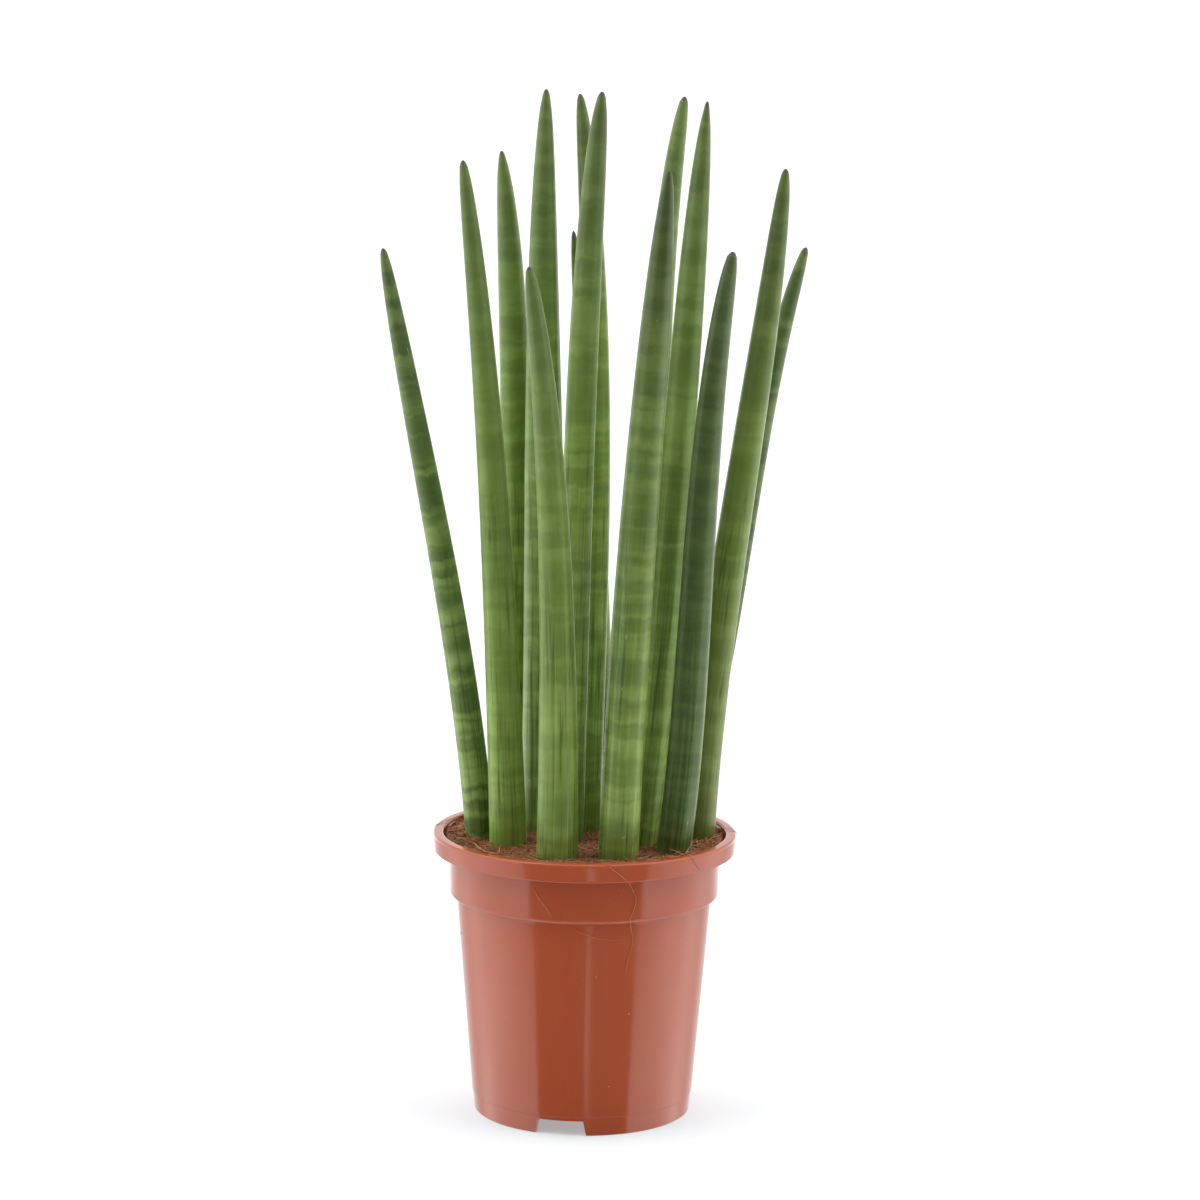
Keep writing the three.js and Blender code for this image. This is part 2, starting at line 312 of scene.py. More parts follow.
class Recipe(Graph):
    """A Geometry Nodes tree with named inputs, which makes one mesh from an object."""

    SOCKETS = {float: "NodeSocketFloat", int: "NodeSocketInt", bpy.types.Material: "NodeSocketMaterial"}

    def __init__(self, name: str, values: dict[str, Any]) -> None:
        """Starts a tree with a geometry input and output.

        Args:
            name: The tree's name.
            values: A value for each further input, of the input's own type.
        """
        super().__init__(bpy.data.node_groups.new(name, "GeometryNodeTree"))
        face = self.tree.interface
        for way in ("INPUT", "OUTPUT"):
            face.new_socket(name="Geometry", in_out=way, socket_type="NodeSocketGeometry")
        for label, value in values.items():
            face.new_socket(name=label, in_out="INPUT", socket_type=self.SOCKETS[type(value)])
        self.given = self.node("NodeGroupInput", {}, {})

    def stored(
        self, geometry: Wire, name: str, value: Wire, kind: str = "FLOAT", domain: str = "POINT"
    ) -> Wire:
        """Stores a value on the geometry as a named attribute.

        Args:
            geometry: The geometry.
            name: The attribute's name.
            value: Its value.
            kind: Its data type.
            domain: What it is stored on.

        Returns:
            The geometry with the attribute.
        """
        settings = {"data_type": kind, "domain": domain}
        values = {"Geometry": geometry, "Name": name, "Value": value}
        return self.node("GeometryNodeStoreNamedAttribute", settings, values).out

    def read(self, name: str, kind: str = "FLOAT") -> Wire:
        """Reads a named attribute."""
        return self.node("GeometryNodeInputNamedAttribute", {"data_type": kind}, {"Name": name})["Attribute"]

    def place(self) -> Wire:
        """Where each point is."""
        return self.node("GeometryNodeInputPosition", {}, {}).out

    def facing(self) -> Wire:
        """The direction that each point faces."""
        return self.node("GeometryNodeInputNormal", {}, {}).out

    def shifted(self, geometry: Wire, offset: Value) -> Wire:
        """Moves each point by an offset."""
        return self.node("GeometryNodeSetPosition", {}, {"Geometry": geometry, "Offset": offset}).out

    def chance(self, low: float, high: float, seed: Value) -> Wire:
        """A random number for each element, the same at every run."""
        values = {"Min": low, "Max": high, "Seed": seed}
        return self.node("FunctionNodeRandomValue", {"data_type": "FLOAT"}, values).out

    def pebble(self, radius: float) -> Wire:
        """A small round stone."""
        return self.node("GeometryNodeMeshIcoSphere", {}, {"Radius": radius, "Subdivisions": 2})["Mesh"]

    def real(self, geometry: Wire) -> Wire:
        """Turns instances into real geometry."""
        return self.node("GeometryNodeRealizeInstances", {}, {"Geometry": geometry}).out

    def strewn(self, points: Wire, shape: Wire, size: Wire, spin: Union[Wire, None] = None) -> Wire:
        """Puts a copy of a shape on each point.

        Args:
            points: The points.
            shape: What each of them gets.
            size: How much larger each copy is, along each axis.
            spin: How each copy is turned, in radians round each axis, or nothing.

        Returns:
            The copies, as instances.
        """
        values = {"Points": points, "Instance": shape, "Scale": size}
        if spin:
            values["Rotation"] = self.node("FunctionNodeEulerToRotation", {}, {0: spin}).out
        return self.node("GeometryNodeInstanceOnPoints", {}, values).out

    def lines(self) -> Wire:
        """The edges of the tree's own geometry, as curves."""
        return self.node("GeometryNodeMeshToCurve", {}, {"Mesh": self.given["Geometry"]}).out

    def tube(self, line: Wire, girth: Value, sides: Value, fineness: Value, mark: str = "") -> Wire:
        """Lofts a round section along smooth lines.

        Args:
            line: The lines, as curves.
            girth: The radius at each point.
            sides: How many sides the section has.
            fineness: How many steps a line has from one of its points to the next.
            mark: The attribute that keeps each corner's place on the section, or none.

        Returns:
            The tubes, with closed ends.
        """
        line = self.node("GeometryNodeCurveSplineType", {"spline_type": "CATMULL_ROM"}, {"Curve": line}).out
        values = {"Geometry": line, "Resolution": fineness}
        line = self.node("GeometryNodeSetSplineResolution", {}, values).out
        values = {"Resolution": sides, "Radius": 1.0}
        section = self.node("GeometryNodeCurvePrimitiveCircle", {"mode": "RADIUS"}, values)["Curve"]
        if mark:
            section = self.stored(section, mark, self.place(), "FLOAT_VECTOR")
        values = {"Curve": line, "Profile Curve": section, "Scale": girth, "Fill Caps": True}
        return self.node("GeometryNodeCurveToMesh", {}, values).out

    def finished(self, geometry: Wire) -> None:
        """Ends the tree: real geometry, smooth faces and its material."""
        smooth = self.node("GeometryNodeSetShadeSmooth", {}, {"Geometry": self.real(geometry)}).out
        values = {"Geometry": smooth, "Material": self.given["Material"]}
        painted = self.node("GeometryNodeSetMaterial", {}, values).out
        self.node("NodeGroupOutput", {}, {"Geometry": painted})

    def grow(self, name: str, start: bpy.types.Mesh, values: dict[str, Any]) -> bpy.types.Object:
        """Runs the tree on a mesh and keeps the result as a plain mesh.

        Args:
            name: The new object's name.
            start: The mesh that goes into the tree.
            values: A value for each named input.

        Returns:
            An object at the origin with no modifier left on it.
        """
        grown = add_object(name, start)
        modifier = grown.modifiers.new("recipe", "NODES")
        modifier.node_group = self.tree
        for item in self.tree.interface.items_tree:
            if item.item_type == "SOCKET" and item.in_out == "INPUT" and item.name in values:
                modifier[item.identifier] = values[item.name]
        result = evaluated_mesh(grown)
        grown.modifiers.remove(modifier)
        grown.data = result
        bpy.data.meshes.remove(start)
        result.name = name
        return grown


# ------------------------------------------------------------------------- meshes and pieces


def add_object(name: str, data: bpy.types.ID) -> bpy.types.Object:
    """Links a new object with that name and data into the scene."""
    made = bpy.data.objects.new(name, data)
    bpy.context.scene.collection.objects.link(made)
    return made


def evaluated_mesh(made: bpy.types.Object) -> bpy.types.Mesh:
    """The object's mesh with its modifiers worked out."""
    graph = bpy.context.evaluated_depsgraph_get()
    return bpy.data.meshes.new_from_object(
        made.evaluated_get(graph), preserve_all_data_layers=True, depsgraph=graph
    )


def place_piece(piece: bpy.types.Object, slot: str, *nodes: str) -> bpy.types.Object:
    """Lets a finished piece ride with the plant.

    Args:
        piece: The object.
        slot: Not used.
        nodes: The CAD nodes that it stands for.

    Returns:
        The same object.
    """
    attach(piece, ROOT)
    if nodes:
        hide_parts(*nodes)
    faces = len(piece.data.polygons)
    LOG.info("made %s with %d faces, for %s", piece.name, faces, ", ".join(nodes) or "no CAD node")
    return piece


def circle(sides: int) -> list[float]:
    """The angle of each corner of a circle, in radians."""
    return [TURN * i / sides for i in range(sides)]


def around(axis: Vector, angle: float, radius: float, height: float) -> Vector:
    """The point at an angle in radians round an upright axis."""
    return axis + Vector((radius * math.cos(angle), radius * math.sin(angle), height))


def arc(radius: float, height: float, round_off: float, first: float, last: float, steps: int = 8) -> Outline:
    """Points on a rounded edge of a profile.

    Args:
        radius: The rounding's centre, out from the axis.
        height: The rounding's centre, up from the ground.
        round_off: The rounding's own radius.
        first: The angle that it starts at, in degrees, with 0 outwards and 90 up.
        last: The angle that it ends at.
        steps: How many straight pieces it has.

    Returns:
        The points in order.
    """
    turns = [math.radians(first + (last - first) * i / steps) for i in range(steps + 1)]
    return [(radius + round_off * math.cos(a), height + round_off * math.sin(a)) for a in turns]


def kept_mesh(mesh: bmesh.types.BMesh, name: str) -> bpy.types.Mesh:
    """Keeps closed bodies as a mesh, with their faces outwards.

    Args:
        mesh: The bodies, which are freed.
        name: The mesh's name.

    Returns:
        The mesh.
    """
    bmesh.ops.recalc_face_normals(mesh, faces=mesh.faces)
    made = bpy.data.meshes.new(name)
    mesh.to_mesh(made)
    mesh.free()
    return made


def turned_mesh(name: str, rings: Sequence[Sequence[Vector]], start: Vector, end: Vector) -> bpy.types.Mesh:
    """Makes a closed body from rings of corners.

    Args:
        name: The mesh's name.
        rings: The rings in order, each with as many corners.
        start: The pole before the first ring.
        end: The pole after the last.

    Returns:
        The mesh.
    """
    mesh = bmesh.new()
    grid = [[mesh.verts.new(corner) for corner in ring] for ring in rings]
    first, last = mesh.verts.new(start), mesh.verts.new(end)
    for i in range(len(rings[0])):
        j = (i + 1) % len(rings[0])
        mesh.faces.new([first, grid[0][j], grid[0][i]])
        mesh.faces.new([last, grid[-1][i], grid[-1][j]])
        for low, high in zip(grid, grid[1:]):
            mesh.faces.new([low[i], low[j], high[j], high[i]])
    return kept_mesh(mesh, name)


def add_prism(mesh: bmesh.types.BMesh, rings: Sequence[Sequence[Vector]]) -> None:
    """Adds a closed prism.

    Args:
        mesh: The mesh that it is added to.
        rings: The corners of its two ends.
    """
    first, last = ([mesh.verts.new(corner) for corner in ring] for ring in rings)
    mesh.faces.new(first)
    mesh.faces.new(list(reversed(last)))
    for i in range(len(first)):
        j = (i + 1) % len(first)
        mesh.faces.new([first[i], last[i], last[j], first[j]])


# ------------------------------------------------------------------------- finishes


def new_material(name: str) -> tuple[bpy.types.Material, Graph, bpy.types.Node]:
    """Starts a material.

    Args:
        name: The material's name.

    Returns:
        The material, the graph to add nodes to, and its Principled shader.
    """
    made = bpy.data.materials.new(name)
    made.use_nodes = True
    return made, Graph(made.node_tree), made.node_tree.nodes["Principled BSDF"]


def connect(shader: bpy.types.Node, wires: dict[str, Wire]) -> None:
    """Links what changes over a surface to the shader."""
    for name, wire in wires.items():
        wire.graph.tree.links.new(wire.socket, shader.inputs[name])


def set_uniform(shader: bpy.types.Node, values: dict[str, Union[float, Colour]]) -> None:
    """Sets what is the same all over a surface on the shader's own sockets."""
    for name, value in values.items():
        shader.inputs[name].default_value = (*value, 1.0) if isinstance(value, tuple) else value


class LeafLook(Enum):
    """How a leaf has grown: how banded it is, how much blue bloom it has and how yellowed it is."""

    PLAIN = (0.30, 0.00, 0.08)
    GREEN = (0.48, 0.05, 0.05)
    BANDED = (1.15, 0.55, 0.05)
    DUSKY = (0.60, 0.05, 0.12)
    RIPE = (0.55, 0.00, 0.45)
    BLOOMY = (0.55, 0.80, 0.00)


@dataclass(frozen=True)
class LeafSkin:
    """One leaf's look, with how much its colour is scaled at the mix, halfway up and at its tip: partly the
    leaf's own tone, partly painted light that lightens the parts which the other leaves shade.
    """

    look: LeafLook
    low: float
    middle: float
    high: float


@dataclass(frozen=True)
class LeafFinish:
    """Waxy green skin with cross-bands, blotches, lengthwise streaks, scars and a dry tip."""

    deep: Colour = (0.042, 0.080, 0.011)
    green: Colour = (0.108, 0.174, 0.026)
    pale: Colour = (0.225, 0.315, 0.072)
    yellowed: Colour = (0.215, 0.255, 0.052)
    bloomed: Colour = (0.085, 0.138, 0.040)
    groove: Colour = (0.045, 0.085, 0.014)
    dry: Colour = (0.070, 0.052, 0.050)
    scar: Colour = (0.360, 0.420, 0.220)
    rim: Colour = (0.62, 0.90, 0.24)
    dusty: Colour = (0.130, 0.150, 0.080)
    waver: Grain = (150, 150, 60)
    waver_height: float = 7 * MM
    bands: Grain = (9, 9, 105)
    ticks: Grain = (40, 40, 330)
    blotches: Grain = (95, 95, 60)
    clouds: Grain = (45, 45, 22)
    dark_lines: Grain = (820, 820, 11)
    pale_lines: Grain = (430, 430, 9)
    stripes: Grain = (190, 190, 5)
    warmth: Grain = (70, 70, 38)
    scars: Grain = (300, 300, 120)
    tears: Grain = (250, 250, 120)
    tear_height: float = 2 * MM
    tip_length: float = 0.8 * MM
    tip_blend: float = 4.5 * MM
    roughness: float = 0.38

    def material(self) -> bpy.types.Material:
        """Builds the material from a leaf's "unbent", "reach", "look" and "yellowing" attributes."""
        made, graph, shader = new_material("leaf_skin")
        unbent = graph.attribute("unbent")["Vector"]
        share, from_tip, hollow = graph.attribute("reach")["Vector"].parts()
        light, banding, bloom = graph.attribute("look")["Vector"].parts()
        yellowing = graph.attribute("yellowing")["Fac"]

        waver = graph.speckle(unbent, self.waver) - 0.5
        ragged = unbent.moved(graph.vector(0.0, 0.0, self.waver_height * waver))
        bands = graph.speckle(ragged, self.bands).between(0.40, 0.60) - 0.5
        ticks = graph.speckle(ragged, self.ticks, rough=0.6) - 0.5
        blotch = graph.speckle(unbent, self.blotches, 3.0, 0.6) - 0.5
        cloud = graph.speckle(unbent, self.clouds, 1.0) - 0.5
        tone = 0.5 + banding * (0.50 * bands + 0.30 * ticks) + 0.45 * blotch + 0.30 * cloud

        low = share.between(0.15, 0.60, 1.0, 0.12)
        lines = graph.speckle(unbent, self.dark_lines, rough=0.6).between(0.50, 0.70)
        pales = graph.speckle(unbent, self.pale_lines, 1.0).between(0.52, 0.70)
        stripe = graph.speckle(unbent, self.stripes, 1.0) - 0.5
        tone = tone + low * (0.20 * pales - 0.34 * lines + 0.30 * stripe)
        skin = graph.ramp(tone.clamped(), (0.0, self.deep), (0.5, self.green), (1.0, self.pale))

        warm = graph.speckle(unbent.scaled(self.warmth).moved((3.0, 1.0, 2.0)), 1.0)
        yellow = (yellowing * (0.5 + warm) * (1.0 - 0.8 * share)).clamped()
        skin = graph.mixed(yellow, skin, self.yellowed)
        blue = graph.mixed(1.0, self.bloomed, 0.6 + 0.8 * tone.clamped(), "MULTIPLY")
        skin = graph.mixed(bloom * (0.75 + 0.8 * cloud).clamped(), skin, blue)
        skin = graph.mixed(share.between(0.55, 1.0, 0.0, 0.24), skin, self.dusty)
        # Scales the colour by the leaf's light numbers: partly the leaf's own tone, partly painted light that
        # lightens where the other leaves shade it.
        skin = graph.mixed(1.0, skin, light, "MULTIPLY")
        skin = graph.mixed(hollow * 0.75, skin, self.groove)
        marks = graph.speckle(unbent, self.scars).between(0.735, 0.79)
        skin = graph.mixed(marks * 0.4, skin, self.scar)

        torn = from_tip + self.tear_height * graph.speckle(unbent, self.tears)
        withered = torn.between(self.tip_length, self.tip_length + self.tip_blend, 1.0, 0.0)
        skin = graph.mixed(withered, skin, self.dry)

        rough = self.roughness + 0.25 * ticks + 0.25 * withered - 0.10 * lines * low
        bump = graph.bump(0.16, 0.3 * MM, ticks + 0.5 * blotch - 0.9 * lines * low)
        connect(shader, {"Base Color": skin, "Roughness": rough, "Normal": bump})
        set_uniform(shader, {"IOR": 1.42, "Specular IOR Level": 0.40})
        set_uniform(shader, {"Sheen Weight": 0.50, "Sheen Roughness": 0.22, "Sheen Tint": self.rim})
        return made


@dataclass(frozen=True)
class PotFinish:
    """Glossy injection-moulded plastic, in terracotta."""

    name: str = "pot_plastic"
    colour: Colour = (0.342, 0.064, 0.0235)
    worn: Colour = (0.365, 0.080, 0.034)
    dusted: Colour = (0.620, 0.330, 0.200)
    clouds: Grain = (18, 18, 9)
    flow: Grain = (160, 160, 12)
    ripples: Grain = (30, 30, 14)
    dust: float = 900.0
    grain: float = 1400.0
    roughness: float = 0.10

    def material(self) -> bpy.types.Material:
        """Builds the material in Object coordinates."""
        made, graph, shader = new_material(self.name)
        place = graph.object_place()
        cloud = graph.speckle(place, self.clouds, 3.0, 0.55)
        body = graph.mixed(cloud.between(0.35, 0.70, 0.0, 0.45), self.colour, self.worn)
        flow = graph.speckle(place, self.flow)
        body = graph.mixed(flow.between(0.45, 0.75, 0.0, 0.18), body, self.worn)
        dust = graph.speckle(place, self.dust, 1.0).between(0.77, 0.82)
        body = graph.mixed(dust * 0.3, body, self.dusted)
        rough = self.roughness + 0.05 * cloud + 0.20 * dust
        relief = graph.speckle(place, self.ripples, rough=0.4) + 0.02 * graph.speckle(place, self.grain)
        bump = graph.bump(0.10, 1.0 * MM, relief)
        connect(shader, {"Base Color": body, "Roughness": rough, "Normal": bump})
        set_uniform(shader, {"IOR": 1.49, "Specular IOR Level": 0.40})
        return made


@dataclass(frozen=True)
class MixFinish:
    """Damp coir and peat, in reddish browns."""

    dark: Colour = (0.070, 0.021, 0.007)
    middle: Colour = (0.230, 0.078, 0.026)
    light: Colour = (0.430, 0.180, 0.068)
    lumps: float = 160.0
    grains: float = 900.0
    roughness: float = 0.85

    def material(self) -> bpy.types.Material:
        """Builds the material in Object coordinates."""
        made, graph, shader = new_material("potting_mix")
        place = graph.object_place()
        lumps = graph.speckle(place, self.lumps, 4.0, 0.65)
        grains = graph.speckle(place, self.grains, 3.0, 0.6)
        stops = [(0.36, self.dark), (0.50, self.middle), (0.68, self.light)]
        body = graph.ramp(0.6 * lumps + 0.4 * grains, *stops)
        connect(shader, {"Base Color": body, "Normal": graph.bump(0.8, 1.2 * MM, lumps + 0.5 * grains)})
        set_uniform(shader, {"Roughness": self.roughness})
        return made


@dataclass(frozen=True)
class FibreFinish:
    """Coir fibres, each of one tint between dark husk and pale straw."""

    dark: Colour = (0.120, 0.038, 0.012)
    middle: Colour = (0.325, 0.122, 0.041)
    pale: Colour = (0.570, 0.275, 0.112)
    flecks: float = 700.0
    roughness: float = 0.55

    def material(self) -> bpy.types.Material:
        """Builds the material from each fibre's "lot" attribute."""
        made, graph, shader = new_material("coir_fibre")
        lot = graph.attribute("lot")["Fac"]
        body = graph.ramp(lot, (0.0, self.dark), (0.55, self.middle), (1.0, self.pale))
        fleck = graph.speckle(graph.object_place(), self.flecks).between(0.4, 0.7, 0.0, 0.35)
        connect(shader, {"Base Color": graph.mixed(fleck, body, self.middle)})
        set_uniform(shader, {"Roughness": self.roughness})
        return made


# ------------------------------------------------------------------------- leaves


@dataclass
class Ring:
    """A section of a leaf: its centre and its radius over the ridges."""

    centre: Vector
    girth: float


@dataclass
class SpearLeaves:
    """The leaves, each lofted along the line and girths of its CAD solid, with finer furrows."""

    skins: dict[str, LeafSkin]
    surface: float
    sides: int = 96
    fineness: int = 10
    ridges: int = 8
    ridge_depth: float = 0.018
    groove_depth: float = 0.30 * MM
    usual_girth: float = 9 * MM
    ring_gap: float = 1.2 * MM
    tip_shares: tuple[float, ...] = (0.62, 0.34, 0.14, 0.035)
    tip_power: float = 0.45
    point_girth: float = 0.10 * MM
    drift_grain: float = 9.0
    crack_grain: tuple[float, float] = (3.6, 7.0)  # across the leaf, and along it
    break_grain: tuple[float, float] = (2.0, 12.0)
    crack_width: float = 0.035

    def build(self, nodes: dict[str, bpy.types.Object]) -> list[bpy.types.Object]:
        """Makes every leaf.

        Args:
            nodes: The CAD nodes by name.

        Returns:
            The leaf pieces, in order.
        """
        skin = LeafFinish().material()
        names = sorted(self.skins)
        inputs = [self._inputs(number, self.skins[name], skin) for number, name in enumerate(names, start=1)]
        recipe = self._recipe(inputs[0])
        pieces = []
        for name, values in zip(names, inputs):
            spine = self._spine(name, self.rings(nodes[name].data))
            pieces.append(place_piece(recipe.grow("spear_" + name, spine, values), "leaf", name))
        return pieces

    def _inputs(self, number: int, own: LeafSkin, skin: bpy.types.Material) -> dict[str, Any]:
        """The values that one leaf goes into the tree with.

        Args:
            number: The leaf's number, from 1.
            own: Its look.
            skin: What it is made of.

        Returns:
            A value for each named input.
        """
        banding, bloom, yellowing = own.look.value
        return {
            "Sides": self.sides,
            "Fineness": self.fineness,
            "Ridges": self.ridges,
            "Ridge Depth": self.ridge_depth,
            "Groove Depth": self.groove_depth,
            "Low Tone And Painted Light": own.low,
            "Middle Tone And Painted Light": own.middle,
            "High Tone And Painted Light": own.high,
            "Banding": banding,
            "Bloom": bloom,
            "Yellowing": yellowing,
            "Seed": 1.7 * number,
            "Material": skin,
        }

    def rings(self, mesh: bpy.types.Mesh) -> list[Ring]:
        """Reads a CAD leaf's sections from its corners.

        Args:
            mesh: The CAD leaf.

        Returns:
            Its sections from the buried end to the tip.
        """
        corners = sorted({tuple(round(c, 7) for c in v.co) for v in mesh.vertices}, key=lambda c: c[2])
        axis = (Vector(corners[-1]) - Vector(corners[0])).normalized()
        corners = sorted((Vector(c) for c in corners), key=lambda c: c.dot(axis))
        groups = [[corners[0]]]
        for corner in corners[1:]:
            if (corner - groups[-1][-1]).dot(axis) > self.ring_gap:
                groups.append([])
            groups[-1].append(corner)
        found = []
        for group in groups:
            centre = sum(group, Vector()) / len(group)
            found.append(Ring(centre, max((corner - centre).length for corner in group)))
        return found

    def _spine(self, name: str, rings: list[Ring]) -> bpy.types.Mesh:
        """A leaf's centre line, with a rounder point than the CAD leaf's.

        Args:
            name: The leaf's name.
            rings: Its sections.

        Returns:
            A chain of points that carry the leaf's girth and lengths.
        """
        tip = rings[-1].centre
        below = rings[-2]
        point = [
            Ring(tip.lerp(below.centre, share), below.girth * share**self.tip_power)
            for share in self.tip_shares
        ]
        chain = [*rings[:-1], *point, Ring(tip, self.point_girth)]
        mesh = bpy.data.meshes.new(name + "_spine")
        mesh.from_pydata([r.centre for r in chain], [(i, i + 1) for i in range(len(chain) - 1)], [])
        whole = (tip - rings[2].centre).length
        columns = {
            "girth": [r.girth for r in chain],
            "along": [r.centre.z - self.surface for r in chain],
            "from_tip": [(tip - r.centre).length for r in chain],
        }
        columns["share"] = [1 - length / whole for length in columns["from_tip"]]
        for label, numbers in columns.items():
            mesh.attributes.new(label, "FLOAT", "POINT").data.foreach_set("value", numbers)
        return mesh

    def _recipe(self, values: dict[str, Any]) -> Recipe:
        """The tree that lofts a leaf along its spine and cuts its furrows and fine grooves.

        Args:
            values: A value for each named input.

        Returns:
            The tree.
        """
        recipe = Recipe("spear_leaf", values)
        given = recipe.given
        skin = recipe.tube(recipe.lines(), recipe.read("girth"), given["Sides"], given["Fineness"], "side")

        side_x, side_y, _ = recipe.read("side", "FLOAT_VECTOR").parts()
        along, girth, from_tip = (recipe.read(name) for name in ("along", "girth", "from_tip"))
        share = recipe.read("share").clamped()
        seed = given["Seed"]
        drift = recipe.speckle(recipe.vector(seed * 3.1, seed, along * self.drift_grain), 1.0)
        ridge = 0.5 - 0.5 * (given["Ridges"] * (side_y.angle(side_x) + 0.5 * drift) + seed).cosine()
        across, up = self.crack_grain
        cells = recipe.vector(side_x * across + seed * 7.0, side_y * across, along * up)
        across, up = self.break_grain
        breaks = recipe.vector(side_x * across, side_y * across, along * up + seed)
        crack = recipe.speckle(cells, 1.0, 1.0).peak(0.5, self.crack_width)
        crack = crack * recipe.speckle(breaks, 1.0).between(0.40, 0.58) * share.between(0.40, 0.65, 1.0, 0.0)
        fade = 1 - share
        sunk = given["Ridge Depth"] * girth * ridge * fade
        sunk = sunk + given["Groove Depth"] * crack * fade * (girth / self.usual_girth).least(1.0)
        skin = recipe.shifted(skin, recipe.facing().stretched(-sunk))

        across = (side_x * self.usual_girth + seed * 0.31, side_y * self.usual_girth)
        # The leaf's light numbers, eased from the mix to halfway up and on to the tip: partly its own tone,
        # partly painted light against the shade between the leaves.
        light = share.between(0.0, 0.5, given["Low Tone And Painted Light"], given["Middle Tone And Painted Light"])
        light = light + share.between(0.5, 1.0, 0.0, given["High Tone And Painted Light"] - given["Middle Tone And Painted Light"])
        kept = {
            "unbent": recipe.vector(*across, along + seed * 0.83),
            "reach": recipe.vector(share, from_tip, crack),
            "look": recipe.vector(light, given["Banding"], given["Bloom"]),
        }
        for name, value in kept.items():
            skin = recipe.stored(skin, name, value, "FLOAT_VECTOR")
        skin = recipe.stored(skin, "yellowing", given["Yellowing"])
        for spare in ("side", "along", "girth", "share", "from_tip"):
            skin = recipe.node("GeometryNodeRemoveAttribute", {}, {"Geometry": skin, "Name": spare}).out
        recipe.finished(skin)
        return recipe


# ------------------------------------------------------------------------- threads


def grow_threads(
    name: str,
    routes: Sequence[Sequence[Vector]],
    tints: Sequence[float],
    girth: float,
    material: bpy.types.Material,
) -> bpy.types.Object:
    """Makes thin tubes with fine ends along routes.

    Args:
        name: The piece's name.
        routes: Each tube's points.
        tints: Each tube's place between the material's dark and pale tints.
        girth: The tubes' radius at their middle.
        material: What they are made of.

    Returns:
        The tubes as one piece.
    """
    points, edges, lots, shares = [], [], [], []
    for route, tint in zip(routes, tints):
        first = len(points)
        points += route
        edges += [(i, i + 1) for i in range(first, len(points) - 1)]
        lots += [tint] * len(route)
        shares += [i / (len(route) - 1) for i in range(len(route))]
    mesh = bpy.data.meshes.new(name + "_routes")
    mesh.from_pydata(points, edges, [])
    for label, numbers in {"lot": lots, "share": shares}.items():
        mesh.attributes.new(label, "FLOAT", "POINT").data.foreach_set("value", numbers)
    values = {"Thickness": girth, "Fineness": 6, "Sides": 6, "Material": material}
    recipe = Recipe("threads", values)
    share = recipe.read("share")
    taper = 0.3 + 0.7 * (4 * share * (1 - share)) ** 0.35
    given = recipe.given
    girths = given["Thickness"] * taper
    recipe.finished(recipe.tube(recipe.lines(), girths, given["Sides"], given["Fineness"]))
    return recipe.grow(name, mesh, values)


# ------------------------------------------------------------------------- the pot


